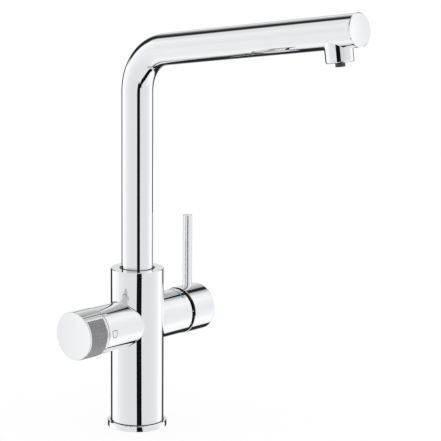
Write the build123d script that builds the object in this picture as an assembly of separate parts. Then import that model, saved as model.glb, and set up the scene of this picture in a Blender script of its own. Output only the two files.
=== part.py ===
from build123d import *
from math import cos, radians, sin
import os

# Water filter kitchen tap, in millimetres.
# The worktop's upper face is z = 0, the spout points along -Y at rest,
# the mixer branch lies along +X and the filtered-water branch along -X.

# Column
columnR = 23.7
columnFoot = 3.5
columnTop = 144.5
branchZ = 96.0
branchR = 20.6
filterBranchEnd = -55.9
mixerBranchEnd = 51.0
junctionFillet = 1.2
edgeBreak = 0.4

# Base ring, its gasket and the worktop that the tap is clamped to
baseR = 26.5
baseBoreR = 17.3
baseHeight = 5.0
gasketR = (22.5, 25.0)
gasketDepth = 1.6
worktop = 38.0
horseshoeR = 24.0
horseshoeSlotHalf = 15.5
horseshoeSlotEnd = 4.5
horseshoeRound = 1.0
rubberThick = 3.0
steelThick = 2.5
studR = 4.0
studY = 12.0
studTop = 12.0
studEnd = -60.0
nutAcross = 13.0
nutHigh = 6.5

# Brass inlet body: a plug in the column's foot and a shank in the worktop's hole,
# with threaded sockets for the three supply hoses at (x, y)
plugR = 19.5
plugTop = 16.0
shankR = 17.2
shankFoot = -12.5
shankBevel = 0.8
socketR = 4.5
socketTop = -0.5
waterwayR = 2.2
hotSocket = (10.5, -1.0)
coldSocket = (0.0, -10.6)
filterSocket = (-10.5, -1.0)

# Spout: a bent tube whose arm rises from the corner of its centre line
tubeR = 14.0
tubeWall = 1.2
tubeBoreR = tubeR - tubeWall
cornerZ = 337.3
armRise = 9.0
bendR = 40.0
armLength = 248.6
tubeFoot = 130.0
capThick = 1.5
capBevel = 0.6
capPlug = 4.0
capPlugWall = 2.0

# Spout bearing in the column
bearingR = 16.0
bearingFoot = 138.0
runningGap = 0.06
spoutBoreR = 14.3
spoutBoreFoot = 119.0
spigotFoot = 119.3
spigotTop = 139.0
spigotBoreR = 9.5
spigotFloor = 1.4
oRingWide = 2.0
oRingGrooveR = 12.4
oRingRound = 0.7
oRingFeet = (121.0, 127.4)
lockGroove = (123.9, 126.3)
lockGrooveR = 12.0
lockScrewR = 2.5
lockScrewY = (14.9, 22.5)
lockTipR = 0.9
lockTipY = 12.5
lockKeyHalf = 1.25
lockKeyDeep = 2.3

# Inner tube for the filtered water
innerR = 3.0
innerBoreR = 2.0
innerFoot = 109.0
innerSeatFoot = 105.0
innerRingR = 4.6
innerRingZ = (112.0, 114.0)

# Outlet under the arm, distances measured from the arm's centre line
outletAt = 224.8
collarR = 11.75
collarDrop = 24.7
collarRound = 1.5
outletBoreR = 9.4
housingBoreR = 8.2
housingFoot = -24.5
housingTop = -14.0
lipWide = 0.8
lipTop = -23.3
insertTop = -19.3
nozzleR = 4.1
nozzleBoreR = 2.2
nozzleDrop = 28.1
nozzleBevel = 0.4
elbowR = 5.0
elbowFoot = -8.0
elbowTop = 5.0
jetCount = 12
jetR = 0.75
jetRingR = 6.0

# Filter valve, positions along X
filterSeat = -16.0
filterSealEnd = -19.0
filterSealR = 7.0
filterOutletX = -22.0
filterChamberR = 12.0
filterRecess = -46.0
filterRecessR = 18.0
headpartNoseR = 10.0
headpartNoseEnd = -30.0
headpartWindow = (-24.5, -20.5)
headpartWindowHalf = 3.0
headpartGasket = 1.0
headpartGasketR = 15.0
headpartHex = 27.0
headpartHexEnd = -52.0
headpartNeck = -56.5
discCavityR = 8.3
discCavityEnd = -26.2
filterDiscR = 8.0
filterDiscThick = 3.0
filterWindowR = 4.5
filterWindowLow = -0.8
keyHalf = 1.5
keyHigh = 1.4
keyReach = 5.0
spindleR = 4.0
spindleFlange = 1.1
spindleRing = (-42.0, -40.0)
spindleClip = (-57.7, -56.9)
spindleClipDeep = 0.5
spindleClipWide = 1.6
spindleTeeth = 10
spindleToothed = 9.0
toothWide = 0.7
spindleEnd = -71.0
knobR = 21.2
knobInnerR = 18.2
knobOpenEnd = -56.6
knobGripEnd = -78.4
knobEnd = -79.8
knobHubR = 8.0
knobHub = (-74.8, -58.5)
knobFlange = (-65.0, -62.0)
knobLine = (-59.0, -58.5)
knobLineDeep = 0.3
knobRound = 0.6
knobRimDeep = 3.0
knobRimWall = 2.0
glideRingR = 20.2
glideRingWall = 1.0
glideRingX = (-53.0, -56.4)
knobScrewX = -70.0
knobScrewRoom = 0.3

# Mixer valve, positions along X
mixerSeat = 16.0
mixerChamberR = 17.6
cartridgeR = 17.4
cartridgeBoreR = 15.5
portR = 2.6
ports = ((6.0, -6.0), (-6.0, -6.0), (0.0, 8.0))
sealWide = 1.4
sealThick = 1.0
basePlate = (17.0, 22.0)
fixedDisc = (22.0, 26.0)
movingDisc = (26.05, 30.5)
driver = (30.5, 33.6)
carrier = (33.9, 41.7)
shellEnd = 44.0
nut = (44.0, 48.5)
domeEnd = 55.0
neckEnd = 53.5
neckR = 13.4
movingDiscR = 11.4
fingerR = 2.4
fingerHoleR = 3.1
fingerEnd = 29.5
fingerRoom = 0.5
mixPocketR = 6.5
mixPocketDeep = 2.0
carrierGap = 0.3
carrierSlot = (83.7, 102.5)
nutBoreR = 13.9
keyNotch = 3.0
domeBoreR = 14.2
domeFlangeR = 19.9
domeFlange = 0.4
domeShoulder = (52.0, 19.0)
domeMiddle = (54.0, 17.9)
domeTipR = 15.8

# Lever: it tilts outwards about a pin that lies below the branch's axis
pivotX = 50.0
pivotZ = branchZ - 8.5
pinR = 1.5
pinHalf = 9.0
stemHalf = 4.0
stemSlotHalf = 4.3
stemEyeR = 3.5
stemEyeWeb = 2.0
stemEnd = 74.0
leverCapR = 21.3
leverCapWall = 2.0
leverCapStart = 54.0
leverCapEnd = 80.5
leverCapRound = 1.2
capLinerR = 20.8
capLinerEnd = 56.5
leverBossR = 8.0
leverBossStart = 58.0
rodX = 66.1
rodR = 4.1
rodFoot = 101.0
rodTop = 183.2
rodBevel = 0.5
screwR = 2.0
screwKeyHalf = 1.0
screwKeyDeep = 1.4

os.makedirs("parts", exist_ok=True)
parts = {}


def keep(name, shape):
    """Stores a finished piece under its node name."""
    parts[name] = shape


def diskZ(radius, low, high, x=0.0, y=0.0):
    """Cylinder along Z between two heights."""
    return Pos(x, y, (low + high) / 2) * Cylinder(radius, high - low)


def ringZ(outer, inner, low, high):
    """Ring along Z."""
    return diskZ(outer, low, high) - diskZ(inner, low - 1, high + 1)


def diskX(radius, start, end, y=0.0, z=0.0):
    """Cylinder along X on the branch axis, or off it by y and z."""
    low, high = min(start, end), max(start, end)
    place = Pos((low + high) / 2, y, branchZ + z) * Rot(0, 90, 0)
    return place * Cylinder(radius, high - low)


def ringX(outer, inner, start, end):
    """Ring along X on the branch axis."""
    low, high = min(start, end), max(start, end)
    return diskX(outer, low, high) - diskX(inner, low - 1, high + 1)


def diskY(radius, low, high, x, z):
    """Cylinder along Y."""
    return Pos(x, (low + high) / 2, z) * Rot(90, 0, 0) * Cylinder(radius, high - low)


def box(x, y, z):
    """Box between pairs of limits."""
    centre = Pos((x[0] + x[1]) / 2, (y[0] + y[1]) / 2, (z[0] + z[1]) / 2)
    return centre * Box(x[1] - x[0], y[1] - y[0], z[1] - z[0])


def drilling(start, end, radius):
    """Straight waterway between two points."""
    run = Vector(*end) - Vector(*start)
    plane = Plane(origin=start, z_dir=run)
    return plane * Pos(0, 0, run.length / 2) * Cylinder(radius, run.length)


def onArm(shape):
    """Moves a shape from the arm's own frame, where the arm runs along -Y, to its place."""
    return Pos(0, 0, cornerZ) * Rot(-armRise, 0, 0) * shape


def armPoint(distance):
    """Point on the arm's centre line."""
    rise = radians(armRise)
    return (0, -distance * cos(rise), cornerZ + distance * sin(rise))


def edgesAt(shape, axis, place, radius=None):
    """Circular edges that lie in one plane, of one radius if it is given."""
    found = []
    for edge in shape.edges().filter_by(GeomType.CIRCLE):
        there = abs(getattr(edge.center(), axis) - place) < 0.01
        if there and (radius is None or abs(edge.radius - radius) < 0.01):
            found.append(edge)
    return found


def supplyWaterways():
    """Drillings from the three hose sockets up to the valve seats."""
    ends = [(mixerSeat + 1, y, branchZ + z) for y, z in ports[:2]]
    ends.append((filterSeat - 1, 0, branchZ))
    starts = [(*socket, socketTop - 1) for socket in (hotSocket, coldSocket, filterSocket)]
    return [drilling(start, end, waterwayR) for start, end in zip(starts, ends)]


def columnBody():
    """Cast column with both branches, the valve chambers and the waterways."""
    body = diskZ(columnR, columnFoot, columnTop)
    body += diskX(branchR, filterBranchEnd, 0)
    body += diskX(branchR, 0, mixerBranchEnd)
    seams = [e for e in body.edges() if e.geom_type not in (GeomType.CIRCLE, GeomType.LINE)]
    body = fillet(seams, junctionFillet)
    rims = edgesAt(body, "Z", columnTop) + edgesAt(body, "X", filterBranchEnd)
    rims += edgesAt(body, "X", mixerBranchEnd)
    body = chamfer(rims, edgeBreak)
    body -= diskZ(bearingR, bearingFoot, columnTop + 1)
    body -= diskZ(spoutBoreR, spoutBoreFoot, bearingFoot + 1)
    body -= diskZ(innerR + runningGap, innerSeatFoot, spoutBoreFoot + 1)
    body -= diskZ(innerRingR, *innerRingZ)
    lockZ = sum(lockGroove) / 2
    body -= diskY(lockScrewR, spoutBoreR - 1, columnR + 1, 0, lockZ)
    body -= diskZ(plugR, columnFoot - 1, plugTop)
    body -= diskX(filterChamberR, filterSeat, filterRecess - 1)
    body -= diskX(filterRecessR, filterRecess, filterBranchEnd - 1)
    body -= diskX(mixerChamberR, mixerSeat, mixerBranchEnd + 1)
    for waterway in supplyWaterways():
        body -= waterway
    mixedY, mixedZ = ports[2]
    mixed = (mixerSeat + 1, mixedY, branchZ + mixedZ)
    body -= drilling((mixerSeat / 2, 0, spoutBoreFoot + 1), mixed, waterwayR)
    outlet = branchZ + (headpartNoseR + filterChamberR) / 2
    body -= drilling((filterOutletX, 0, outlet), (0, 0, outlet), innerBoreR)
    return body


def inletBody():
    """Brass plug in the column's foot, whose shank holds the hose sockets and the stud."""
    body = diskZ(plugR, columnFoot, plugTop) + diskZ(shankR, shankFoot, columnFoot)
    body = chamfer(edgesAt(body, "Z", shankFoot), shankBevel)
    body -= diskZ(studR, shankFoot - 1, studTop, 0, studY)
    for x, y in (hotSocket, coldSocket, filterSocket):
        body -= diskZ(socketR, shankFoot - 1, socketTop, x, y)
    for waterway in supplyWaterways():
        body -= waterway
    return body


def baseRing():
    """Wider ring that the column stands in."""
    ring = ringZ(baseR, baseBoreR, 0, baseHeight)
    ring = chamfer(edgesAt(ring, "Z", baseHeight, baseR), edgeBreak)
    ring -= diskZ(columnR, columnFoot, baseHeight + 1)
    ring -= ringZ(gasketR[1], gasketR[0], -1, gasketDepth)
    return ring


def horseshoe(top, thick):
    """Slotted washer under the worktop: the hoses leave through its slot, the stud behind it."""
    plate = diskZ(horseshoeR, top - thick, top)
    slot = (-horseshoeR - 1, horseshoeSlotEnd)
    plate -= box((-horseshoeSlotHalf, horseshoeSlotHalf), slot, (top - thick - 1, top + 1))
    plate -= diskZ(studR, top - thick - 1, top + 1, 0, studY)
    corners = plate.edges().filter_by(Axis.Z)
    return fillet(corners, horseshoeRound)


def fixingNut():
    """Hexagon nut on the stud."""
    top = -worktop - rubberThick - steelThick
    face = RegularPolygon(nutAcross / 2, 6, major_radius=False)
    solid = Pos(0, studY, top - nutHigh) * extrude(face, nutHigh)
    return solid - diskZ(studR, top - nutHigh - 1, top + 1, 0, studY)


def tubeAlong(outer, inner, start, distance):
    """Round tube up the column's axis, round the bend and out along the arm."""
    path = FilletPolyline((0, 0, start), (0, 0, cornerZ), armPoint(distance), radius=bendR)
    foot = Plane(origin=(0, 0, start), z_dir=(0, 0, 1))
    section = foot * (Circle(outer) - Circle(inner))
    return sweep(section, path=path)


def spoutTube():
    """Bent tube with a hole under the arm for the outlet."""
    tube = tubeAlong(tubeR, tubeBoreR, tubeFoot, armLength - capThick)
    return tube - onArm(diskZ(outletBoreR, housingTop - 2, -elbowR, 0, -outletAt))


def spoutSpigot():
    """Brass end of the spout: two seal grooves, the lock groove and a floor with water windows."""
    body = diskZ(tubeR, spigotFoot, tubeFoot) + diskZ(tubeBoreR, tubeFoot, spigotTop)
    body -= diskZ(spigotBoreR, spigotFoot + spigotFloor, spigotTop + 1)
    for foot in oRingFeet:
        body -= ringZ(tubeR + 1, oRingGrooveR, foot, foot + oRingWide)
    body -= ringZ(tubeR + 1, lockGrooveR, *lockGroove)
    body -= diskZ(innerR, spigotFoot - 1, spigotTop)
    for spot in PolarLocations((innerR + spigotBoreR) / 2, 4, start_angle=45):
        body -= spot * Pos(0, 0, spigotFoot) * Cylinder(waterwayR, 4 * spigotFloor)
    return body


def spoutORing(foot):
    """Seal ring in one of the spigot's grooves."""
    outer = spoutBoreR - runningGap
    ring = ringZ(outer, oRingGrooveR, foot, foot + oRingWide)
    rims = edgesAt(ring, "Z", foot, outer) + edgesAt(ring, "Z", foot + oRingWide, outer)
    return fillet(rims, oRingRound)


def spoutLockScrew():
    """Grub screw at the back, whose tip runs in the spigot's groove."""
    z = sum(lockGroove) / 2
    inner, outer = lockScrewY
    body = diskY(lockScrewR, inner, outer, 0, z)
    body += diskY(lockTipR, lockTipY, inner + 1, 0, z)
    socket = RegularPolygon(lockKeyHalf, 6, major_radius=False)
    key = Plane(origin=(0, outer - lockKeyDeep, z), z_dir=(0, 1, 0))
    return body - key * extrude(socket, lockKeyDeep + 1)


def spoutEndCap():
    """Flat disc that closes the arm, with a plug inside the tube."""
    face = diskY(tubeR, -armLength, capThick - armLength, 0, 0)
    face = chamfer(edgesAt(face, "Y", -armLength), capBevel)
    plugEnd = capThick + capPlug - armLength
    plug = diskY(tubeBoreR, capThick - armLength, plugEnd, 0, 0)
    plug -= diskY(tubeBoreR - capPlugWall, capThick - armLength, plugEnd + 1, 0, 0)
    return onArm(face + plug)


def outletCollar():
    """Short round outlet, saddled on the underside of the arm."""
    body = diskZ(collarR, -collarDrop, 0, 0, -outletAt)
    body = fillet(edgesAt(body, "Z", -collarDrop), collarRound)
    body -= diskY(tubeR, -outletAt - 2 * tubeR, -outletAt + 2 * tubeR, 0, 0)
    body -= diskZ(outletBoreR, -collarDrop - 1, 1, 0, -outletAt)
    return onArm(body)


def aeratorHousing():
    """Threaded ring in the collar's mouth with a lip that holds the insert."""
    body = ringZ(outletBoreR, housingBoreR, housingFoot, housingTop)
    lip = ringZ(housingBoreR, housingBoreR - lipWide, housingFoot, lipTop)
    return onArm(Pos(0, -outletAt, 0) * (body + lip))


def aeratorInsert():
    """Perforated ring round the nozzle, through which the mixed water falls."""
    body = ringZ(housingBoreR, nozzleR, lipTop, insertTop)
    for spot in PolarLocations(jetRingR, jetCount):
        body -= spot * diskZ(jetR, lipTop - 1, insertTop + 1)
    return onArm(Pos(0, -outletAt, 0) * body)


def filterNozzle():
    """Nozzle in the middle of the outlet."""
    body = ringZ(nozzleR, nozzleBoreR, -nozzleDrop, elbowFoot)
    body = chamfer(edgesAt(body, "Z", -nozzleDrop, nozzleR), nozzleBevel)
    return onArm(Pos(0, -outletAt, 0) * body)


def outletElbow():
    """Elbow inside the arm that turns the filtered water down into the nozzle."""
    body = diskZ(elbowR, elbowFoot, elbowTop, 0, -outletAt)
    body -= diskY(innerR, elbowR / 2 - outletAt, elbowR + 1 - outletAt, 0, 0)
    body -= diskY(innerBoreR, -outletAt, elbowR - outletAt, 0, 0)
    body -= diskZ(innerBoreR, elbowFoot - 1, 0, 0, -outletAt)
    return onArm(body)


def filterTubeORing():
    """Seal round the inner tube, held in the column."""
    return ringZ(innerRingR, innerR + runningGap / 2, *innerRingZ)


def filterHeadpart():
    """Screwed-in valve body with a hexagon, a nose round the discs and a neck for the spindle."""
    flange = filterRecess - headpartGasket
    body = diskX(headpartNoseR, filterSealEnd, headpartNoseEnd)
    body += diskX(filterChamberR, headpartNoseEnd, flange)
    hexFace = RegularPolygon(headpartHex / 2, 6, major_radius=False)
    hexPlane = Plane(origin=(headpartHexEnd, 0, branchZ), z_dir=(1, 0, 0))
    body += hexPlane * extrude(hexFace, flange - headpartHexEnd)
    body += diskX(knobHubR, headpartHexEnd, headpartNeck)
    body -= diskX(discCavityR, filterSeat, discCavityEnd)
    body -= diskX(spindleR + runningGap, filterSeat, headpartNeck - 1)
    across = (-headpartWindowHalf, headpartWindowHalf)
    return body - box(headpartWindow, across, (branchZ, branchZ + filterChamberR))


def spindleKey(start, end):
    """Bar across the spindle's end that turns the ceramic disc."""
    return box((start, end), (-keyHalf, keyHalf), (branchZ - keyReach, branchZ + keyReach))


def filterSpindle():
    """Spindle with a driving flange, a seal groove, a clip groove and a toothed end."""
    start = filterSealEnd - 2 * filterDiscThick
    body = diskX(filterDiscR, start, start - spindleFlange) + diskX(spindleR, start, spindleEnd)
    body += spindleKey(start, start + keyHigh)
    body -= ringX(spindleR + 1, spindleR - 1, *spindleRing)
    body -= ringX(spindleR + 1, spindleR - spindleClipDeep, *spindleClip)
    for spot in PolarLocations(spindleR, spindleTeeth):
        gap = spot * Box(toothWide, toothWide, 2 * spindleToothed)
        body -= Pos(spindleEnd, 0, branchZ) * Rot(0, 90, 0) * gap
    return body


def filterDisc(start, slot):
    """Ceramic disc with a half-round water window, and a slot for the spindle's key."""
    end = start - filterDiscThick
    across = (-filterDiscR, filterDiscR)
    window = diskX(filterWindowR, start + 1, end - 1)
    window &= box((end - 1, start + 1), across, (branchZ - filterDiscR, branchZ + filterWindowLow))
    disc = diskX(filterDiscR, start, end) - window
    if slot:
        disc -= spindleKey(end - 1, end + keyHigh + 0.1)
    return disc


def filterGlideRing():
    """Black ring in the branch's mouth, seen as the line between the branch and the knob."""
    foot, end = glideRingX
    inner = filterRecessR - glideRingWall
    sleeve = ringX(filterRecessR, inner, foot, filterBranchEnd)
    return sleeve + ringX(glideRingR, inner, filterBranchEnd, end)


def knobInsert():
    """Plastic centre of the knob: a hub on the spindle and a flange in the sleeve."""
    body = diskX(knobHubR, *knobHub) + diskX(knobInnerR, *knobFlange)
    body -= diskX(spindleR, headpartNeck, spindleEnd)
    body -= Pos(knobScrewX, 0, branchZ - knobHubR) * Cylinder(screwR, 2 * (knobHubR - spindleR))
    return body


def knobSleeve():
    """Grip sleeve: a plain shoulder, a relief line and the grip, with the screw's hole below."""
    body = ringX(knobR, knobInnerR, knobOpenEnd, knobGripEnd)
    body = chamfer(edgesAt(body, "X", knobOpenEnd, knobR), edgeBreak)
    body -= ringX(knobR + 1, knobR - knobLineDeep, *knobLine)
    return body - Pos(knobScrewX, 0, branchZ - knobR) * Cylinder(screwR + knobScrewRoom, knobR / 2)


def knobDisc():
    """End face of the knob with a slightly rounded edge and a rim inside the sleeve."""
    face = diskX(knobR, knobEnd, knobGripEnd)
    face = fillet(edgesAt(face, "X", knobEnd), knobRound)
    return face + ringX(knobInnerR, knobInnerR - knobRimWall, knobGripEnd, knobGripEnd + knobRimDeep)


def portSeals():
    """Rubber rings between the column's seat and the cartridge's base, one per waterway."""
    rings = []
    for y, z in ports:
        ring = diskX(portR + sealWide, mixerSeat, mixerSeat + sealThick, y, z)
        rings.append(ring - diskX(portR, mixerSeat - 1, mixerSeat + 2, y, z))
    return Compound(rings)


def drilledDisc(radius, span):
    """Disc with the three water ports."""
    disc = diskX(radius, *span)
    for y, z in ports:
        disc -= diskX(portR, span[0] - 1, span[1] + 1, y, z)
    return disc


def mixerDiscMoving():
    """Sliding disc: a mixing pocket towards the ports and a hole for the finger."""
    disc = diskX(movingDiscR, *movingDisc)
    disc -= diskX(mixPocketR, movingDisc[0] - 1, movingDisc[0] + mixPocketDeep)
    return disc - diskX(fingerHoleR, fingerEnd - fingerRoom, movingDisc[1] + 1)


def cartridgeShell():
    """Plastic case of the cartridge, whose front wall carries the turning part."""
    body = ringX(cartridgeR, cartridgeBoreR, fixedDisc[0], shellEnd)
    return body + ringX(cartridgeBoreR, neckR + runningGap, carrier[1] + carrierGap, shellEnd)


def leverCarrier():
    """Turning part of the cartridge, slotted for the stem and bored for the pin."""
    body = diskX(cartridgeBoreR - carrierGap, *carrier) + diskX(neckR, carrier[1], neckEnd)
    slot = box((carrier[0] - 1, neckEnd + 1), (-stemSlotHalf, stemSlotHalf), carrierSlot)
    return body - slot - diskY(pinR, -neckR, neckR, pivotX, pivotZ)


def cartridgeNut():
    """Ring nut that presses the cartridge on its seat, with four key notches."""
    body = ringX(mixerChamberR, nutBoreR, *nut)
    for angle in range(0, 360, 90):
        notch = Rot(angle, 0, 0) * Pos(nut[1], 0, mixerChamberR) * Box(keyNotch, keyNotch, keyNotch)
        body -= Pos(0, 0, branchZ) * notch
    return body


def gapDome():
    """Black cover that closes the gap between the branch and the lever cap."""
    foot = [(nut[1], domeBoreR), (nut[1], mixerChamberR), (mixerBranchEnd, mixerChamberR)]
    rim = (mixerBranchEnd + domeFlange, domeFlangeR)
    tip = (domeEnd, domeTipR)
    with BuildPart() as dome:
        with BuildSketch(Plane.XZ):
            with BuildLine():
                Polyline(*foot, (mixerBranchEnd, domeFlangeR), rim)
                Line(rim, domeShoulder)
                ThreePointArc(domeShoulder, domeMiddle, tip)
                Polyline(tip, (domeEnd, domeBoreR), foot[0])
            make_face()
        revolve(axis=Axis.X)
    return Pos(0, 0, branchZ) * dome.part


def leverStem():
    """Lever inside the cap: a bar, an eye on the pin and a finger that slides the disc."""
    across = (-stemHalf, stemHalf)
    body = box((pivotX - stemHalf, leverCapStart), across, (pivotZ, branchZ + stemHalf))
    body += box((leverCapStart, stemEnd), across, (branchZ - stemHalf, branchZ + stemHalf))
    body += diskY(stemEyeR, -stemHalf, stemHalf, pivotX, pivotZ)
    body += box((pivotX - stemEyeR, pivotX + stemEyeR), across, (pivotZ, pivotZ + stemEyeWeb))
    body += diskX(fingerR, fingerEnd, pivotX)
    return body - diskY(pinR + runningGap, -neckR, neckR, pivotX, pivotZ)


def leverCap():
    """Cap over the cartridge, with a boss for the stem and holes for the rod and the screw."""
    body = diskX(leverCapR, leverCapStart, leverCapEnd)
    body = fillet(edgesAt(body, "X", leverCapEnd), leverCapRound)
    body = chamfer(edgesAt(body, "X", leverCapStart), edgeBreak)
    floor = leverCapEnd - leverCapWall
    body -= diskX(leverCapR - leverCapWall, leverCapStart - 1, floor)
    body -= diskX(capLinerR, leverCapStart - 1, capLinerEnd)
    body += diskX(leverBossR, leverBossStart, floor)
    across = (-stemHalf, stemHalf)
    body -= box((leverBossStart - 1, stemEnd), across, (branchZ - stemHalf, branchZ + stemHalf))
    body -= diskZ(rodR, rodFoot, rodTop, rodX, 0)
    return body - diskZ(screwR, branchZ - leverCapR - 1, branchZ, rodX, 0)


def leverRod():
    """Thin rod that the hand moves."""
    body = diskZ(rodR, rodFoot, rodTop, rodX, 0)
    return chamfer(edgesAt(body, "Z", rodTop), rodBevel)


def socketScrew(x, low, high):
    """Grub screw along Z with a hexagon socket in its lower end."""
    body = diskZ(screwR, low, high, x, 0)
    socket = RegularPolygon(screwKeyHalf, 6, major_radius=False)
    return body - Pos(x, 0, low - 1) * extrude(socket, screwKeyDeep + 1)


# Column and deck fixing
rubberTop = -worktop
steelTop = rubberTop - rubberThick
keep("column_body", columnBody())
keep("inlet_body", inletBody())
keep("base_ring", baseRing())
keep("base_gasket", ringZ(gasketR[1], gasketR[0], 0, gasketDepth))
keep("fixing_stud", diskZ(studR, studEnd, studTop, 0, studY))
keep("rubber_horseshoe", horseshoe(rubberTop, rubberThick))
keep("steel_horseshoe", horseshoe(steelTop, steelThick))
keep("fixing_nut", fixingNut())
keep("spout_glide_ring", ringZ(bearingR, tubeR + runningGap, bearingFoot, columnTop - 0.2))
keep("spout_lock_screw", spoutLockScrew())

# Spout
keep("spout_tube", spoutTube())
keep("spout_spigot", spoutSpigot())
keep("spout_o_ring_lower", spoutORing(oRingFeet[0]))
keep("spout_o_ring_upper", spoutORing(oRingFeet[1]))
keep("spout_end_cap", spoutEndCap())
keep("outlet_collar", outletCollar())
keep("aerator_housing", aeratorHousing())
keep("aerator_insert", aeratorInsert())
keep("filter_nozzle", filterNozzle())
keep("outlet_elbow", outletElbow())
keep("filter_water_tube", tubeAlong(innerR, innerBoreR, innerFoot, outletAt - elbowR / 2))
keep("filter_tube_o_ring", filterTubeORing())

# Filter valve
keep("filter_seat_seal", ringX(filterSealR, spindleR, filterSeat, filterSealEnd))
keep("filter_disc_fixed", filterDisc(filterSealEnd, False))
keep("filter_disc_turning", filterDisc(filterSealEnd - filterDiscThick, True))
keep("filter_headpart_body", filterHeadpart())
gasketEnd = filterRecess - headpartGasket
keep("filter_headpart_gasket", ringX(headpartGasketR, filterChamberR, filterRecess, gasketEnd))
keep("filter_spindle", filterSpindle())
keep("filter_spindle_o_ring", ringX(spindleR + runningGap / 2, spindleR - 1, *spindleRing))
clipR = (spindleR + spindleClipWide, spindleR - spindleClipDeep)
keep("filter_spindle_clip", ringX(*clipR, *spindleClip))
keep("filter_glide_ring", filterGlideRing())
keep("filter_knob_insert", knobInsert())
keep("filter_knob_sleeve", knobSleeve())
keep("filter_knob_disc", knobDisc())
keep("filter_knob_screw", socketScrew(knobScrewX, branchZ - knobHubR, branchZ - spindleR))

# Mixer valve and lever
keep("mixer_port_seals", portSeals())
keep("cartridge_base", drilledDisc(cartridgeR, basePlate))
keep("mixer_disc_fixed", drilledDisc(cartridgeBoreR, fixedDisc))
keep("mixer_disc_moving", mixerDiscMoving())
keep("disc_driver", ringX(movingDiscR, fingerHoleR, *driver))
keep("cartridge_shell", cartridgeShell())
keep("lever_carrier", leverCarrier())
keep("pivot_pin", diskY(pinR, -pinHalf, pinHalf, pivotX, pivotZ))
keep("cartridge_nut", cartridgeNut())
keep("gap_dome", gapDome())
keep("lever_stem", leverStem())
keep("lever_cap", leverCap())
keep("cap_liner_ring", ringX(capLinerR, leverCapR - leverCapWall, leverCapStart, capLinerEnd))
keep("lever_rod", leverRod())
keep("lever_cap_screw", socketScrew(rodX, branchZ - leverBossR, branchZ - stemHalf))

for name, shape in parts.items():
    export_step(shape, f"parts/{name}.step")
    print(name, round(shape.volume))
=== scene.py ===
import bpy
import bmesh
import math
from mathutils import Matrix, Vector


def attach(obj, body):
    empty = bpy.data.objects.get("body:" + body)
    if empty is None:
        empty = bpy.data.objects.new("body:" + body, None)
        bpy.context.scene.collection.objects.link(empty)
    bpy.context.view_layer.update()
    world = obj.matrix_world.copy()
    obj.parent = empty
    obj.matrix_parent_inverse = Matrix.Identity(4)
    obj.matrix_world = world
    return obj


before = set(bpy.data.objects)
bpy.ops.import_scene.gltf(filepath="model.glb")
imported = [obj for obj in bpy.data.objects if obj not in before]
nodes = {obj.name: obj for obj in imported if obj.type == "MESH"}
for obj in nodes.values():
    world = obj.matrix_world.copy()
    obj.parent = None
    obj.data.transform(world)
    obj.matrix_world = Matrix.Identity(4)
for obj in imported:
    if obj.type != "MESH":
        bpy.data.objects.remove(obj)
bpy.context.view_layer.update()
print("frame loaded with", len(nodes), "nodes")


millimetre = 0.001  # in metres


def addObject(name, data):
    thing = bpy.data.objects.new(name, data)
    bpy.context.scene.collection.objects.link(thing)
    return thing


def emptyMaterial(name):
    material = bpy.data.materials.new(name)
    material.use_nodes = True
    material.node_tree.nodes.clear()
    return material, material.node_tree


# Helpers for node trees
def addNode(tree, kind, label="", **values):
    node = tree.nodes.new(kind)
    node.label = label
    for name, value in values.items():
        setattr(node, name, value)
    return node


def join(tree, source, target, output=0, entry=0):
    tree.links.new(source.outputs[output], target.inputs[entry])
    return target


def feed(tree, socket, value):
    if isinstance(value, (int, float, tuple)):
        socket.default_value = value
    elif value is not None:
        tree.links.new(value, socket)


def mathNode(tree, operation, *values, label=""):
    node = addNode(tree, "ShaderNodeMath", label, operation=operation)
    for socket, value in zip(node.inputs, values):
        feed(tree, socket, value)
    return node.outputs[0]


def vectorNode(tree, operation, *values):
    node = addNode(tree, "ShaderNodeVectorMath", operation=operation)
    for socket, value in zip(node.inputs, values):
        feed(tree, socket, value)
    return node.outputs[0]


def greyRamp(tree, source, stops):
    ramp = addNode(tree, "ShaderNodeValToRGB")
    line = ramp.color_ramp
    while len(line.elements) < len(stops):
        line.elements.new(0.5)
    for element, (place, level) in zip(line.elements, stops):
        element.position = place
        element.color = (level, level, level, 1.0)
    feed(tree, ramp.inputs[0], source)
    return ramp.outputs[0]


def span(tree, value, entry, result):
    node = addNode(tree, "ShaderNodeMapRange")
    for socket, amount in zip(node.inputs, (value, *entry, *result)):
        feed(tree, socket, amount)
    return node.outputs[0]


def mixValues(tree, amount, low, high):
    node = addNode(tree, "ShaderNodeMix", data_type="FLOAT")
    for place, value in zip((0, 2, 3), (amount, low, high)):
        feed(tree, node.inputs[place], value)
    return node.outputs[0]


def mixColours(tree, amount, low, high):
    node = addNode(tree, "ShaderNodeMix", data_type="RGBA")
    for place, value in zip((0, 6, 7), (amount, low, high)):
        feed(tree, node.inputs[place], (*value, 1.0) if isinstance(value, tuple) else value)
    return node.outputs[2]


# Camera, fitted to the photograph
cameraView = {
    "place": (-1.38195, -1.323525, 0.570555),
    "heading": 41.553,  # degrees from +X
    "down": 11.322,  # degrees below level
    "roll": 0.463,
    "lens": 179.59,  # millimetres, as is the sensor
    "sensor": 36.0,
    "nearest": 0.05,  # metres, as is the farthest
    "farthest": 60.0,
}


def makeCamera(view):
    data = bpy.data.cameras.new("photoCamera")
    data.lens = view["lens"]
    data.sensor_width = view["sensor"]
    data.clip_start = view["nearest"]
    data.clip_end = view["farthest"]
    camera = addObject("photoCamera", data)
    turn = Matrix.Rotation(math.radians(view["heading"] - 90), 4, "Z")
    tip = Matrix.Rotation(math.radians(90 - view["down"]), 4, "X")
    roll = Matrix.Rotation(math.radians(view["roll"]), 4, "Z")
    camera.matrix_world = Matrix.Translation(view["place"]) @ turn @ tip @ roll
    bpy.context.scene.camera = camera


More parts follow.
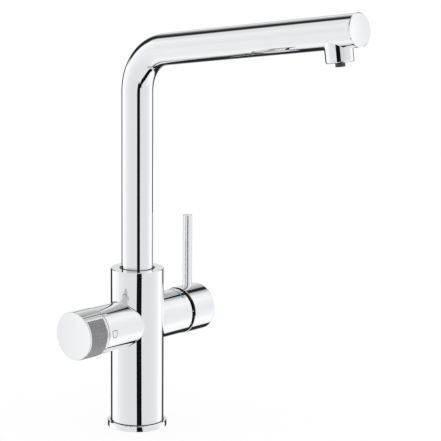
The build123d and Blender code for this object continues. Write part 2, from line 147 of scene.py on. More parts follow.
# Studio: a white tent with dark cloths behind the tap.
# The bearings are degrees round the tap, counted from the photographer's side.
studio = {
    "front": -138.4,  # bearing of the photographer's side, degrees from +X
    "diffuse": 1.0,  # the tent's level as soft light
    # sines of elevation between which each ring gives way to the next one up
    "rises": [(-0.52, -0.44), (-0.12, 0.0), (0.05, 0.14), (0.46, 0.55), (0.90, 0.94)],
    "zenith": 0.7,  # level overhead
}

# Brightness round the tent at each height, from the lowest up, as (bearing, level)
ringDeep = [(-180, 0.02), (-150, 0.02), (-146, 0.22), (-140, 0.55), (-133, 0.87), (-110, 0.95),
            (-90, 0.86), (-60, 0.8), (60, 0.8), (90, 0.95), (110, 1.03), (140, 0.95), (147, 0.02),
            (180, 0.02)]
ringLow = [(-180, 0.45), (-172, 0.4), (-164, 0.02), (-138.5, 0.02), (-134.5, 1.0), (-128, 1.04),
           (-96, 0.98), (-84, 0.87), (-70, 0.82), (-50, 0.785), (-30, 0.768), (50, 0.768), (76, 0.79),
           (96, 0.87), (110, 1.03), (128, 1.03), (138, 0.9), (144, 0.02), (164, 0.02), (172, 0.4),
           (180, 0.45)]
ringLevel = [(-180, 0.72), (-175, 0.92), (-168, 0.8), (-160, 0.4), (-156, 0.02), (-142, 0.02),
             (-138, 1.0), (-110, 1.03), (-96, 0.9), (-84, 0.82), (-60, 0.8), (50, 0.78), (76, 0.79),
             (88, 0.81), (97, 0.87), (106, 1.0), (138, 1.0), (143, 0.02), (156, 0.02), (160, 0.3),
             (172, 0.64), (180, 0.72)]
ringRaised = [(-180, 0.72), (-177.2, 0.78), (-176.9, 0.12), (-175, 0.12), (-174.5, 0.88), (-172, 0.9),
              (-164, 0.5), (-158, 0.02), (-127, 0.02), (-121, 0.95), (-110, 1.0), (-96, 0.88),
              (-84, 0.82), (-72, 0.56), (-20, 0.5), (50, 0.74), (76, 0.79), (88, 0.82), (97, 0.88),
              (106, 1.0), (136, 0.95), (142, 0.02), (156, 0.02), (160, 0.3), (172, 0.64), (180, 0.72)]
ringAbove = [(-180, 0.6), (-162, 0.55), (-155, 0.18), (-150, 0.03), (-145, 0.02), (-134, 0.02),
             (-129, 0.3), (-125, 0.78), (-100, 0.82), (-88, 0.8), (-74, 0.52), (-20, 0.44), (2, 0.16),
             (16, 0.16), (42, 0.45), (62, 0.74), (90, 0.98), (120, 0.88), (131, 0.55), (136, 0.5),
             (140, 0.02), (155, 0.02), (159, 0.4), (180, 0.6)]


def makeWorld(room):
    world = bpy.data.worlds.new("studioTent")
    world.use_nodes = True
    bpy.context.scene.world = world
    tree = world.node_tree
    tree.nodes.clear()
    where = addNode(tree, "ShaderNodeTexCoord")
    turned = addNode(tree, "ShaderNodeVectorRotate", rotation_type="Z_AXIS")
    turned.inputs["Angle"].default_value = -math.radians(room["front"])
    join(tree, where, turned, "Generated", "Vector")
    x, y, height = join(tree, turned, addNode(tree, "ShaderNodeSeparateXYZ")).outputs
    bearing = mathNode(tree, "ARCTAN2", y, x, label="bearing")
    around = mathNode(tree, "MULTIPLY_ADD", bearing, 0.5 / math.pi, 0.5)

    def ring(stops):
        return greyRamp(tree, around, [((angle + 180) / 360, level) for angle, level in stops])

    def rise(limits):
        return span(tree, height, limits, (0.0, 1.0))

    whole = ring(ringDeep)
    higher = [ring(stops) for stops in (ringLow, ringLevel, ringRaised, ringAbove)]
    for limits, level in zip(room["rises"], (*higher, room["zenith"])):
        whole = mixValues(tree, rise(limits), whole, level)
    rays = addNode(tree, "ShaderNodeLightPath")
    plain = mixValues(tree, rays.outputs["Is Camera Ray"], room["diffuse"], 1.0)
    mirrored = mathNode(tree, "MAXIMUM", rays.outputs["Is Glossy Ray"], rays.outputs["Is Transmission Ray"])
    seen = mixValues(tree, mirrored, plain, whole)
    light = addNode(tree, "ShaderNodeBackground")
    light.inputs["Color"].default_value = (1.0, 1.0, 1.0, 1.0)
    feed(tree, light.inputs["Strength"], seen)
    join(tree, light, addNode(tree, "ShaderNodeOutputWorld"))


# Floor: pale, keeps the tap's shadow, and lets reflections see the tent below the horizon
floorLook = {
    "half": 6.0,  # half the floor's side
    "height": -0.0004,
    "colour": (1.0, 1.0, 1.0, 1.0),
    "lift": 0.9,  # share of its white that the camera sees whatever light falls on it
}


def makeFloor(look):
    half, height = look["half"], look["height"]
    mesh = bpy.data.meshes.new("studioFloor")
    corners = [(-half, -half, height), (half, -half, height), (half, half, height), (-half, half, height)]
    mesh.from_pydata(corners, [], [(0, 1, 2, 3)])
    floor = addObject("studioFloor", mesh)
    material, tree = emptyMaterial("paleFloor")
    matt = addNode(tree, "ShaderNodeBsdfDiffuse")
    matt.inputs["Color"].default_value = look["colour"]
    glow = addNode(tree, "ShaderNodeEmission")
    rays = addNode(tree, "ShaderNodeLightPath")
    lifted = addNode(tree, "ShaderNodeMixShader")
    feed(tree, lifted.inputs[0], mathNode(tree, "MULTIPLY", rays.outputs["Is Camera Ray"], look["lift"]))
    join(tree, matt, lifted, 0, 1)
    join(tree, glow, lifted, 0, 2)
    clear = addNode(tree, "ShaderNodeBsdfTransparent")
    opened = addNode(tree, "ShaderNodeMixShader")
    join(tree, rays, opened, "Is Glossy Ray", 0)
    join(tree, lifted, opened, 0, 1)
    join(tree, clear, opened, 0, 2)
    join(tree, opened, addNode(tree, "ShaderNodeOutputMaterial"))
    mesh.materials.append(material)


# Dark cards that only mirrors see: a near and a far upright flag with a sloping card between them,
# which make the thin black band in the chrome, and a strip far below, which leads the band round
# the spout's bend
darkFlag = {
    # each upright flag's left and right foot, and its lowest and highest edge
    "uprights": [((-0.3555, -0.3212), (-0.2652, -0.5229), 0.0, 1.6),
                 ((-1.5016, -1.3566), (-0.9066, -1.8089), -0.68, -0.27)],
    "strip": [(-1.25, -2.74), (-0.93, -1.79), (-0.5, -1.27), (-0.165, -0.917), (0.006, -0.61),
              (0.098, -0.329), (0.2, -0.06), (0.367, 0.03)],
    "stripWide": [0.55, 0.6, 0.6, 0.55, 0.5, 0.45, 0.42, 0.4],
    "depth": -0.9,  # height of the strip
    "level": 0.006,  # brightness of the cloth
}


def makeFlag(look):
    mesh = bpy.data.meshes.new("darkFlag")
    corners, faces = [], []
    for left, right, low, high in look["uprights"]:
        faces.append(tuple(range(len(corners), len(corners) + 4)))
        corners += [(*left, low), (*right, low), (*right, high), (*left, high)]
    nearFoot, farTop = (0, 1), (6, 7)  # corners of the sloping card
    faces.append(nearFoot + farTop)
    line = [Vector(point) for point in look["strip"]]
    for place, (point, wide) in enumerate(zip(line, look["stripWide"])):
        way = (line[min(place + 1, len(line) - 1)] - line[max(place - 1, 0)]).normalized()
        side = Vector((-way.y, way.x)) * wide / 2
        corners += [(*(point + side), look["depth"]), (*(point - side), look["depth"])]
        if place:
            last = len(corners)
            faces.append((last - 4, last - 3, last - 1, last - 2))
    mesh.from_pydata(corners, [], faces)
    flag = addObject("darkFlag", mesh)
    material, tree = emptyMaterial("darkFlagCloth")
    clear = addNode(tree, "ShaderNodeBsdfTransparent")
    cloth = addNode(tree, "ShaderNodeEmission")
    cloth.inputs["Strength"].default_value = look["level"]
    rays = addNode(tree, "ShaderNodeLightPath")
    shown = addNode(tree, "ShaderNodeMixShader")
    join(tree, rays, shown, "Is Glossy Ray", 0)
    join(tree, clear, shown, 0, 1)
    join(tree, cloth, shown, 0, 2)
    join(tree, shown, addNode(tree, "ShaderNodeOutputMaterial"))
    mesh.materials.append(material)


bpy.context.scene.view_settings.view_transform = "Standard"
makeCamera(cameraView)
makeWorld(studio)
makeFloor(floorLook)
makeFlag(darkFlag)
print("camera, tent and floor are in place")


# Shared effects, as shader node groups that take places in millimetres
def separated(tree, vector):
    node = addNode(tree, "ShaderNodeSeparateXYZ")
    feed(tree, node.inputs[0], vector)
    return node.outputs


def startEffect(name, sizes):
    tree = bpy.data.node_groups.new(name, "ShaderNodeTree")
    tree.interface.new_socket("Vector", in_out="INPUT", socket_type="NodeSocketVector")
    for label, value in sizes.items():
        socket = tree.interface.new_socket(label, in_out="INPUT", socket_type="NodeSocketFloat")
        socket.default_value = value
    for label in ("Mask", "Height"):
        tree.interface.new_socket(label, in_out="OUTPUT", socket_type="NodeSocketFloat")
    return tree, addNode(tree, "NodeGroupInput").outputs, addNode(tree, "NodeGroupOutput").inputs


def noise(tree, vector, scale, detail=2.0, distortion=0.0):
    node = addNode(tree, "ShaderNodeTexNoise")
    settings = {"Vector": vector, "Scale": scale, "Detail": detail, "Distortion": distortion}
    for name, value in settings.items():
        feed(tree, node.inputs[name], value)
    return node.outputs[0]


def scaleFor(tree, size):  # the scale at which a texture's features are about that size
    return mathNode(tree, "DIVIDE", 1.0, size)


def radiusSquared(tree, x, y):
    return mathNode(tree, "ADD", mathNode(tree, "MULTIPLY", x, x), mathNode(tree, "MULTIPLY", y, y))


def makeHandling():  # broad smudges, and thin wipe marks along the axis
    smudgeEdge, wipeEdge = [(0.38, 0.0), (0.66, 1.0)], [(0.55, 0.0), (0.75, 1.0)]
    drawnOut = (1.0, 1.0, 0.05)  # wipes are twenty times as long as wide
    tree, given, result = startEffect("handlingMarks", {"Smudge Size": 24.0, "Wipe Size": 0.5})
    broad = noise(tree, given["Vector"], scaleFor(tree, given["Smudge Size"]), detail=3.0, distortion=0.6)
    feed(tree, result["Mask"], greyRamp(tree, broad, smudgeEdge))
    drawn = vectorNode(tree, "MULTIPLY", given["Vector"], drawnOut)
    fine = noise(tree, drawn, scaleFor(tree, given["Wipe Size"]))
    feed(tree, result["Height"], greyRamp(tree, fine, wipeEdge))
    return tree


def makeTurning():  # lathe rings about the Z axis: circles on an end face, hoops on a side
    driftScale, bandScale = 0.35, 1.3
    tree, given, result = startEffect("turningRings", {"Pitch": 0.4, "Waver": 0.3})
    x, y, along = separated(tree, given["Vector"])
    run = mathNode(tree, "ADD", mathNode(tree, "SQRT", radiusSquared(tree, x, y)), along)
    drift = mathNode(tree, "MULTIPLY", noise(tree, given["Vector"], driftScale), given["Waver"])
    turns = mathNode(tree, "DIVIDE", mathNode(tree, "ADD", run, drift), given["Pitch"])
    wave = mathNode(tree, "SINE", mathNode(tree, "MULTIPLY", turns, 2 * math.pi))
    feed(tree, result["Height"], span(tree, wave, (-1.0, 1.0), (0.0, 1.0)))
    bands = addNode(tree, "ShaderNodeTexNoise", noise_dimensions="1D")
    feed(tree, bands.inputs["W"], run)
    feed(tree, bands.inputs["Scale"], bandScale)
    feed(tree, result["Mask"], bands.outputs[0])
    return tree


def makeGrain():  # fine pebbled grain of a moulded surface, with a slow change of tone
    pebbleSlope = [(0.1, 1.0), (0.7, 0.0)]
    tree, given, result = startEffect("mouldedGrain", {"Grain Size": 0.4, "Tone Size": 9.0})
    cells = addNode(tree, "ShaderNodeTexVoronoi", feature="SMOOTH_F1")
    feed(tree, cells.inputs["Vector"], given["Vector"])
    feed(tree, cells.inputs["Scale"], scaleFor(tree, given["Grain Size"]))
    feed(tree, result["Height"], greyRamp(tree, cells.outputs["Distance"], pebbleSlope))
    feed(tree, result["Mask"], noise(tree, given["Vector"], scaleFor(tree, given["Tone Size"]), detail=4.0))
    return tree


def makeSpangle():  # flat crystals of a zinc skin, or short pressed fibres when drawn out
    tree, given, result = startEffect("crystalPatches", {"Patch Size": 1.2, "Stretch": 1.0})
    stretch = addNode(tree, "ShaderNodeCombineXYZ")
    for place, value in enumerate((1.0, 1.0, given["Stretch"])):
        feed(tree, stretch.inputs[place], value)
    bent = vectorNode(tree, "MULTIPLY", given["Vector"], stretch.outputs[0])
    cells = addNode(tree, "ShaderNodeTexVoronoi")
    feed(tree, cells.inputs["Vector"], bent)
    feed(tree, cells.inputs["Scale"], scaleFor(tree, given["Patch Size"]))
    feed(tree, result["Mask"], separated(tree, cells.outputs["Color"])[0])
    feed(tree, result["Height"], cells.outputs["Distance"])
    return tree


def makeBow():  # slight dish of a pressed end face, highest at the rim
    tree, given, result = startEffect("bowedFace", {"Depth": 0.5, "Radius": 20.0})
    x, y, along = separated(tree, given["Vector"])
    edge = mathNode(tree, "MULTIPLY", given["Radius"], given["Radius"])
    share = mathNode(tree, "DIVIDE", radiusSquared(tree, x, y), edge)
    feed(tree, result["Mask"], share)
    feed(tree, result["Height"], mathNode(tree, "MULTIPLY", share, given["Depth"]))
    return tree


effects = {
    "handling": makeHandling(),
    "turning": makeTurning(),
    "grain": makeGrain(),
    "patches": makeSpangle(),
    "bow": makeBow(),
}

branchHeight = 0.096  # of the branches' axis above the worktop, in metres

# The spout's arm: height of the corner that it rises from, and places along it, in metres
arm = {
    "corner": 0.3373,
    "outlet": 0.2248,
    "end": 0.2486,
    "rise": 9.0,  # degrees
}


def alongArm(distance):
    rise = math.radians(arm["rise"])
    return 0.0, -distance * math.cos(rise), arm["corner"] + distance * math.sin(rise)


# Axes that the patterns are centred on: place in metres, turn in degrees
axes = {
    "column": ((0.0, 0.0, 0.0), (0.0, 0.0, 0.0)),
    "branches": ((0.0, 0.0, branchHeight), (0.0, 90.0, 0.0)),
    "outlet": (alongArm(arm["outlet"]), (-arm["rise"], 0.0, 0.0)),
    "armEnd": (alongArm(arm["end"]), (90.0 - arm["rise"], 0.0, 0.0)),
}


def placeEffect(tree, vector, kind, sizes):
    node = addNode(tree, "ShaderNodeGroup", kind, node_tree=effects[kind])
    feed(tree, node.inputs["Vector"], vector)
    for name, value in sizes.items():
        node.inputs[name].default_value = value
    return node.outputs["Mask"], node.outputs["Height"]


def makeFinish(name, look, axis="column"):
    material = bpy.data.materials.new(name)
    material.use_nodes = True
    tree = material.node_tree
    shader = tree.nodes["Principled BSDF"]
    where = addNode(tree, "ShaderNodeTexCoord")
    centred = addNode(tree, "ShaderNodeMapping", vector_type="TEXTURE")
    origin, turn = axes[axis]
    centred.inputs["Location"].default_value = origin
    centred.inputs["Rotation"].default_value = [math.radians(angle) for angle in turn]
    centred.inputs["Scale"].default_value = (millimetre, millimetre, millimetre)
    join(tree, where, centred, "Object", "Vector")
    mask, height = placeEffect(tree, centred.outputs[0], look["effect"], look["sizes"])
    raised = mathNode(tree, "MULTIPLY", height, look["relief"])
    if "bow" in look:
        raised = mathNode(tree, "ADD", raised, placeEffect(tree, centred.outputs[0], "bow", look["bow"])[1])
    bump = addNode(tree, "ShaderNodeBump")
    bump.inputs["Distance"].default_value = millimetre
    feed(tree, bump.inputs["Height"], raised)
    feed(tree, shader.inputs["Base Color"], mixColours(tree, mask, look["colour"], look["tint"]))
    feed(tree, shader.inputs["Roughness"], span(tree, mask, (0.0, 1.0), look["rough"]))
    feed(tree, shader.inputs["Normal"], bump.outputs[0])
    shader.inputs["Metallic"].default_value = look["metal"]
    return material


# Finishes: colour and roughness where the effect's mask is low and where it is high,
# the effect with its sizes, and its relief, both in millimetres
chromeLook = {
    "colour": (0.958, 0.968, 0.994), "tint": (0.95, 0.96, 0.986), "metal": 1.0, "rough": (0.012, 0.028),
    "effect": "handling", "sizes": {"Smudge Size": 24.0, "Wipe Size": 0.5}, "relief": 0.00005,
}
rodLook = {**chromeLook, "rough": (0.17, 0.22)}
discLook = {**chromeLook, "bow": {"Depth": 0.5, "Radius": 21.0}}
endCapLook = {**chromeLook, "bow": {"Depth": 0.45, "Radius": 14.0}}
ribLook = {
    "colour": (0.42, 0.42, 0.43), "tint": (0.36, 0.36, 0.37), "metal": 1.0, "rough": (0.42, 0.52),
    "effect": "grain", "sizes": {"Grain Size": 0.12, "Tone Size": 6.0}, "relief": 0.004,
}
brassLook = {
    "colour": (0.69, 0.47, 0.19), "tint": (0.55, 0.36, 0.14), "metal": 1.0, "rough": (0.2, 0.34),
    "effect": "turning", "sizes": {"Pitch": 0.35, "Waver": 0.3}, "relief": 0.006,
}
zincLook = {
    "colour": (0.6, 0.62, 0.65), "tint": (0.46, 0.47, 0.48), "metal": 1.0, "rough": (0.28, 0.44),
    "effect": "patches", "sizes": {"Patch Size": 1.4, "Stretch": 1.0}, "relief": 0.01,
}
steelLook = {
    "colour": (0.62, 0.62, 0.64), "tint": (0.52, 0.52, 0.53), "metal": 1.0, "rough": (0.16, 0.3),
    "effect": "turning", "sizes": {"Pitch": 0.22, "Waver": 0.2}, "relief": 0.003,
}
rubberLook = {
    "colour": (0.018, 0.018, 0.019), "tint": (0.035, 0.034, 0.033), "metal": 0.0, "rough": (0.62, 0.8),
    "effect": "grain", "sizes": {"Grain Size": 0.5, "Tone Size": 5.0}, "relief": 0.02,
}
fibreLook = {
    "colour": (0.3, 0.08, 0.045), "tint": (0.18, 0.05, 0.03), "metal": 0.0, "rough": (0.75, 0.9),
    "effect": "patches", "sizes": {"Patch Size": 0.5, "Stretch": 0.2}, "relief": 0.03,
}
ceramicLook = {
    "colour": (0.84, 0.82, 0.76), "tint": (0.78, 0.75, 0.68), "metal": 0.0, "rough": (0.08, 0.16),
    "effect": "grain", "sizes": {"Grain Size": 0.3, "Tone Size": 2.5}, "relief": 0.001,
}
cartridgeLook = {
    "colour": (0.72, 0.72, 0.69), "tint": (0.64, 0.64, 0.61), "metal": 0.0, "rough": (0.38, 0.5),
    "effect": "grain", "sizes": {"Grain Size": 0.35, "Tone Size": 8.0}, "relief": 0.008,
}
blackLook = {
    "colour": (0.01, 0.01, 0.011), "tint": (0.016, 0.016, 0.017), "metal": 0.0, "rough": (0.36, 0.5),
    "effect": "grain", "sizes": {"Grain Size": 0.3, "Tone Size": 6.0}, "relief": 0.006,
}
greyLook = {
    "colour": (0.045, 0.045, 0.047), "tint": (0.06, 0.06, 0.062), "metal": 0.0, "rough": (0.32, 0.46),
    "effect": "grain", "sizes": {"Grain Size": 0.3, "Tone Size": 3.0}, "relief": 0.006,
}
coreLook = {
    "colour": (0.05, 0.05, 0.052), "tint": (0.08, 0.08, 0.08), "metal": 0.0, "rough": (0.4, 0.55),
    "effect": "grain", "sizes": {"Grain Size": 0.5, "Tone Size": 7.0}, "relief": 0.01,
}
tubeLook = {
    "colour": (0.78, 0.79, 0.78), "tint": (0.7, 0.72, 0.72), "metal": 0.0, "rough": (0.2, 0.32),
    "effect": "grain", "sizes": {"Grain Size": 0.8, "Tone Size": 12.0}, "relief": 0.004,
}

# Which finish each node of the frame takes, and the axis its pattern is centred on
wearing = [
    ("polishedChrome", chromeLook, "column", "column_body base_ring spout_tube"),
    ("satinChrome", rodLook, "column", "lever_rod"),
    ("turnedChrome", chromeLook, "branches", "lever_cap filter_knob_sleeve"),
    ("collarChrome", chromeLook, "outlet", "outlet_collar"),
    ("knobDiscChrome", discLook, "branches", "filter_knob_disc"),
    ("endCapChrome", endCapLook, "armEnd", "spout_end_cap"),
    ("turnedBrass", brassLook, "column", "inlet_body spout_spigot"),
    ("valveBrass", brassLook, "branches", "filter_headpart_body filter_spindle cartridge_nut"),
    ("aeratorBrass", brassLook, "outlet", "aerator_housing"),
    ("zincedSteel", zincLook, "column", "fixing_stud steel_horseshoe fixing_nut"),
    ("plainSteel", steelLook, "branches", "spout_lock_screw filter_spindle_clip filter_knob_screw"
     " pivot_pin lever_stem lever_cap_screw"),
    ("blackRubber", rubberLook, "column", "base_gasket rubber_horseshoe spout_o_ring_lower"
     " spout_o_ring_upper filter_tube_o_ring filter_seat_seal filter_spindle_o_ring mixer_port_seals"),
    ("pressedFibre", fibreLook, "branches", "filter_headpart_gasket"),
    ("lappedCeramic", ceramicLook, "branches", "filter_disc_fixed filter_disc_turning"
     " mixer_disc_fixed mixer_disc_moving"),
    ("paleMoulding", cartridgeLook, "branches", "cartridge_base cartridge_shell disc_driver lever_carrier"),
    ("blackMoulding", blackLook, "branches", "gap_dome spout_glide_ring filter_glide_ring cap_liner_ring"),
    ("greyMoulding", greyLook, "outlet", "filter_nozzle aerator_insert"),
    ("knobCore", coreLook, "branches", "filter_knob_insert"),
    ("waterTube", tubeLook, "column", "outlet_elbow filter_water_tube"),
]


def dress(name, look, axis, members):
    material = makeFinish(name, look, axis)
    for member in members.split():
        mesh = nodes[member].data
        mesh.materials.clear()
        mesh.materials.append(material)
    return members.split()


dressed = []
for row in wearing:
    dressed += dress(*row)
print("finishes made;", len(set(dressed)), "of", len(nodes), "nodes dressed")


# Pieces grown by geometry nodes
def startGrowth(name, sizes):
    tree = bpy.data.node_groups.new(name, "GeometryNodeTree")
    tree.interface.new_socket("Geometry", in_out="INPUT", socket_type="NodeSocketGeometry")
    tree.interface.new_socket("Geometry", in_out="OUTPUT", socket_type="NodeSocketGeometry")
    for label, value in sizes.items():
        kind = "NodeSocketInt" if isinstance(value, int) else "NodeSocketFloat"
        tree.interface.new_socket(label, in_out="INPUT", socket_type=kind)
    return tree, addNode(tree, "NodeGroupInput").outputs


def endGrowth(tree, geometry, material):
    flat = addNode(tree, "GeometryNodeSetShadeSmooth")
    flat.inputs["Shade Smooth"].default_value = False
    feed(tree, flat.inputs["Geometry"], geometry)
    solid = join(tree, flat, addNode(tree, "GeometryNodeRealizeInstances"))
    coated = join(tree, solid, addNode(tree, "GeometryNodeSetMaterial"))
    coated.inputs["Material"].default_value = material
    join(tree, coated, addNode(tree, "NodeGroupOutput"))


def grow(name, tree, sizes, body):
    piece = addObject(name, bpy.data.meshes.new(name))
    growth = piece.modifiers.new("growth", "NODES")
    growth.node_group = tree
    for item in tree.interface.items_tree:
        if item.item_type == "SOCKET" and item.in_out == "INPUT" and item.name in sizes:
            growth[item.identifier] = sizes[item.name]
    seen = piece.evaluated_get(bpy.context.evaluated_depsgraph_get())
    plain = bpy.data.meshes.new_from_object(seen)
    piece.modifiers.clear()
    piece.data = plain
    plain.name = name
    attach(piece, body)
    print(name, "has", len(plain.polygons), "faces")
    return piece


# Ribs along the grip of the filter knob, in metres. Angles run from the front (-Y) over the top,
# and the ribs leave free a polished land over the top and the mouth of the screw's hole below
ribCount, ribSpan = 124, 266.0  # the span is in degrees, from the first rib to the last
ribs = {
    "Ribs": ribCount,
    "Radius": 0.02119,
    "Half Width": 0.0004,
    "Ridge": 0.00028,
    "From": math.radians(137.0),  # half a step before the first rib
    "Step": math.radians(ribSpan / (ribCount - 1)),
    "Front": -0.0593,  # ends of the grip along X
    "Back": -0.0782,
    "Hole At": -0.07,
    "Hole Radius": 0.0029,
    "Overlap": 0.00002,  # by which the ribs' ends pass the hole's edge
}


def makeRibs(sizes, material):
    tree, given = startGrowth("gripRibs", sizes)
    place = addNode(tree, "GeometryNodeInputIndex").outputs[0]
    rib = mathNode(tree, "FLOOR", mathNode(tree, "DIVIDE", place, 2.0))
    side = mathNode(tree, "SUBTRACT", place, mathNode(tree, "MULTIPLY", rib, 2.0))
    angle = mathNode(tree, "MULTIPLY_ADD", mathNode(tree, "ADD", rib, 0.5), given["Step"], given["From"])
    aside = mathNode(tree, "MULTIPLY", mathNode(tree, "SUBTRACT", angle, 1.5 * math.pi), given["Radius"])
    holeSquared = mathNode(tree, "MULTIPLY", given["Hole Radius"], given["Hole Radius"])
    room = mathNode(tree, "SUBTRACT", holeSquared, mathNode(tree, "MULTIPLY", aside, aside))
    reach = mathNode(tree, "SQRT", mathNode(tree, "MAXIMUM", room, 0.0))
    gap = mathNode(tree, "SUBTRACT", reach, given["Overlap"])
    inner = mixValues(tree, side, mathNode(tree, "ADD", given["Hole At"], gap),
                      mathNode(tree, "SUBTRACT", given["Hole At"], gap))
    outer = mixValues(tree, side, given["Front"], given["Back"])
    middle = mathNode(tree, "MULTIPLY", mathNode(tree, "ADD", inner, outer), 0.5)
    long = mathNode(tree, "ABSOLUTE", mathNode(tree, "SUBTRACT", outer, inner))

    def vector(*values):
        node = addNode(tree, "ShaderNodeCombineXYZ")
        for socket, value in zip(node.inputs, values):
            feed(tree, socket, value)
        return node.outputs[0]

    inward = mathNode(tree, "MULTIPLY", mathNode(tree, "COSINE", angle), given["Radius"])
    upward = mathNode(tree, "MULTIPLY", mathNode(tree, "SINE", angle), given["Radius"])
    points = addNode(tree, "GeometryNodePoints")
    feed(tree, points.inputs["Count"], mathNode(tree, "MULTIPLY", given["Ribs"], 2.0))
    shift = vector(middle, mathNode(tree, "MULTIPLY", inward, -1.0),
                   mathNode(tree, "ADD", upward, branchHeight))
    feed(tree, points.inputs["Position"], shift)
    bar = addNode(tree, "GeometryNodeMeshCylinder", fill_type="NGON")
    for name, value in {"Vertices": 4, "Radius": 1.0, "Depth": 1.0}.items():
        bar.inputs[name].default_value = value
    lying = addNode(tree, "GeometryNodeTransform")
    lying.inputs["Rotation"].default_value = (0.0, math.radians(90.0), 0.0)
    feed(tree, lying.inputs["Scale"], vector(given["Ridge"], given["Half Width"], 1.0))
    join(tree, bar, lying)
    row = addNode(tree, "GeometryNodeInstanceOnPoints")
    join(tree, points, row)
    join(tree, lying, row, 0, "Instance")
    feed(tree, row.inputs["Rotation"], vector(mathNode(tree, "SUBTRACT", math.pi / 2, angle), 0.0, 0.0))
    feed(tree, row.inputs["Scale"], vector(long, 1.0, 1.0))
    endGrowth(tree, row.outputs[0], material)
    return tree


# Thread on the fixing stud, a bead wound about it, in metres
thread = {
    "Turns": 37.0,
    "Steps": 24,  # for each turn
    "Radius": 0.00375,
    "Bead": 0.00055,
    "Bead Corners": 4,
    "Height": 0.0459,
    "Aside": 0.012,  # the stud's place along Y
    "Foot": -0.0594,
}


def makeThread(sizes, material):
    tree, given = startGrowth("studThread", sizes)
    helix = addNode(tree, "GeometryNodeCurveSpiral")
    for name, value in {"Resolution": "Steps", "Rotations": "Turns", "Start Radius": "Radius",
                        "End Radius": "Radius", "Height": "Height"}.items():
        feed(tree, helix.inputs[name], given[value])
    bead = addNode(tree, "GeometryNodeCurvePrimitiveCircle")
    feed(tree, bead.inputs["Resolution"], given["Bead Corners"])
    feed(tree, bead.inputs["Radius"], given["Bead"])
    wound = addNode(tree, "GeometryNodeCurveToMesh")
    wound.inputs["Fill Caps"].default_value = True
    join(tree, helix, wound)
    join(tree, bead, wound, 0, "Profile Curve")
    shift = addNode(tree, "ShaderNodeCombineXYZ")
    feed(tree, shift.inputs[1], given["Aside"])
    feed(tree, shift.inputs[2], given["Foot"])
    placed = addNode(tree, "GeometryNodeTransform")
    join(tree, wound, placed)
    join(tree, shift, placed, 0, "Translation")
    endGrowth(tree, placed.outputs[0], material)
    return tree


ribMetal = makeFinish("ribbedChrome", ribLook, "branches")
grow("gripRibs", makeRibs(ribs, ribMetal), ribs, "filter_knob")
grow("studThread", makeThread(thread, bpy.data.materials["zincedSteel"]), thread, "root")


# The branches' skin, in millimetres: its radius and height, and how far an inlay stands out and sinks in
branchSkin = {"radius": 20.6, "height": 1000 * branchHeight, "proud": 0.02, "sunk": 0.12}


def enamelLook(colour, tint):
    return {
        "colour": colour, "tint": tint, "metal": 0.0, "rough": (0.2, 0.3),
        "effect": "grain", "sizes": {"Grain Size": 0.25, "Tone Size": 2.0}, "relief": 0.002,
    }


def hoop(place, first, last, steps=24):  # points round a branch between two angles
    turn = [math.radians(first + (last - first) * step / steps) for step in range(steps + 1)]
    return [(place, angle * branchSkin["radius"]) for angle in turn]


# Enamelled marks inlaid in the branches, drawn in millimetres as (place along X, arc up from the front)
tumblerMark = {
    "path": [(-52.0, 2.9), (-49.1, 2.9), (-46.2, 2.9), (-46.45, 1.0), (-46.7, -1.0), (-46.95, -2.3),
             (-47.5, -3.0), (-49.1, -3.0), (-50.7, -3.0), (-51.25, -2.3), (-51.5, -1.0), (-51.75, 1.0)],
    "wide": 0.55, "closed": True,
    "look": enamelLook((0.1, 0.1, 0.105), (0.14, 0.14, 0.145)),
}
coldMark = {
    "path": hoop(45.6, 46.0, 75.0), "wide": 1.3, "closed": False,
    "look": enamelLook((0.05, 0.22, 0.4), (0.07, 0.27, 0.46)),
}
hotMark = {
    "path": hoop(45.6, 79.0, 108.0), "wide": 1.3, "closed": False,
    "look": enamelLook((0.5, 0.03, 0.035), (0.58, 0.05, 0.05)),
}


def settle(name, form, material):  # turns a closed form into a piece
    bmesh.ops.recalc_face_normals(form, faces=form.faces[:])
    mesh = bpy.data.meshes.new(name)
    form.to_mesh(mesh)
    form.free()
    mesh.materials.append(material)
    return addObject(name, mesh)


def band(form, near, far):  # faces between two outlines with the same number of corners
    for place in range(len(near)):
        after = (place + 1) % len(near)
        form.faces.new((near[place], near[after], far[after], far[place]))


def strokeSide(path, place, wide, closed):  # from the stroke's middle to its edge at a point of the path
    here = Vector(path[place])
    before = Vector(path[place - 1]) if closed or place else here
    after = Vector(path[(place + 1) % len(path)]) if closed or place + 1 < len(path) else here
    first = (here - before).normalized() if here != before else (after - here).normalized()
    second = (after - here).normalized() if after != here else first
    way = (first + second).normalized()
    widest = 0.5  # a sharp corner's edge stays within twice the half width
    return Vector((-way.y, way.x)) * (wide / 2 / max(widest, way.dot(first)))


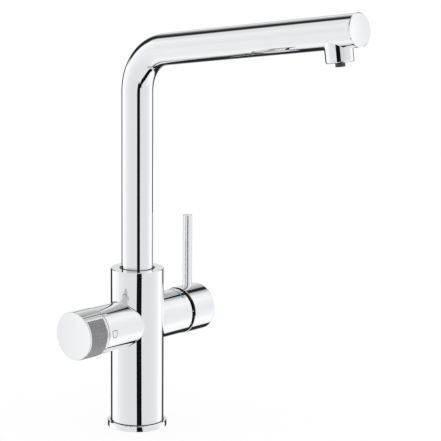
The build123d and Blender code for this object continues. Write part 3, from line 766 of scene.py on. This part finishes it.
def onSkin(skin, spot, lift):  # the point over a place on a branch, in metres
    radius = skin["radius"] + lift
    angle = spot.y / skin["radius"]
    height = skin["height"] + radius * math.sin(angle)
    return Vector((spot.x, -radius * math.cos(angle), height)) / 1000


def makeMark(name, mark, skin):
    path, closed = mark["path"], mark["closed"]
    form = bmesh.new()
    outlines = []
    for place, point in enumerate(path):
        here, side = Vector(point), strokeSide(path, place, mark["wide"], closed)
        section = ((here + side, skin["proud"]), (here - side, skin["proud"]),
                   (here - side, -skin["sunk"]), (here + side, -skin["sunk"]))
        outlines.append([form.verts.new(onSkin(skin, spot, lift)) for spot, lift in section])
    for near, far in zip(outlines, outlines[1:] + outlines[:1] if closed else outlines[1:]):
        band(form, near, far)
    if not closed:
        form.faces.new(outlines[0])
        form.faces.new(outlines[-1])
    piece = settle(name, form, makeFinish(name + "Enamel", mark["look"], "branches"))
    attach(piece, "root")


# Thin dark beads at the joints, revolved about an axis: outline as (radius, place along), in millimetres.
# The grip's lip closes the joint between knob and branch; the foot ring is painted shade, black rubber laid
# in the shadow gap between the column's foot and the base ring
beads = {
    "gripLip": {
        "axis": "branches",
        "body": "root",
        "outline": [(19.6, -55.92), (20.56, -55.92), (20.56, -56.58), (19.6, -56.58)],
    },
    # painted shade: a black ring standing in for the shadow in the gap at the column's foot
    "paintedShadeFootRing": {
        "axis": "column",
        "body": "root",
        "outline": [(23.66, 5.0), (24.2, 5.0), (24.15, 5.28), (23.95, 5.42), (23.66, 5.48)],
    },
}


def makeBead(name, bead, steps=128):
    origin, turn = axes[bead["axis"]]
    axisFrame = Matrix.Translation(origin)
    for angle, letter in zip(turn, "XYZ"):
        axisFrame = axisFrame @ Matrix.Rotation(math.radians(angle), 4, letter)
    form = bmesh.new()
    rings = []
    for step in range(steps):
        angle = 2 * math.pi * step / steps
        spots = [Vector((radius * math.cos(angle), radius * math.sin(angle), along)) / 1000
                 for radius, along in bead["outline"]]
        rings.append([form.verts.new(axisFrame @ spot) for spot in spots])
    for near, far in zip(rings, rings[1:] + rings[:1]):
        band(form, near, far)
    # black rubber for each bead; on the foot ring this black is painted shade
    piece = settle(name, form, bpy.data.materials["blackRubber"])
    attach(piece, bead["body"])


for name, bead in beads.items():
    makeBead(name, bead)
for name, mark in (("tumblerMark", tumblerMark), ("coldMark", coldMark), ("hotMark", hotMark)):
    makeMark(name, mark, branchSkin)
print("ribs, thread, beads and marks are in place")
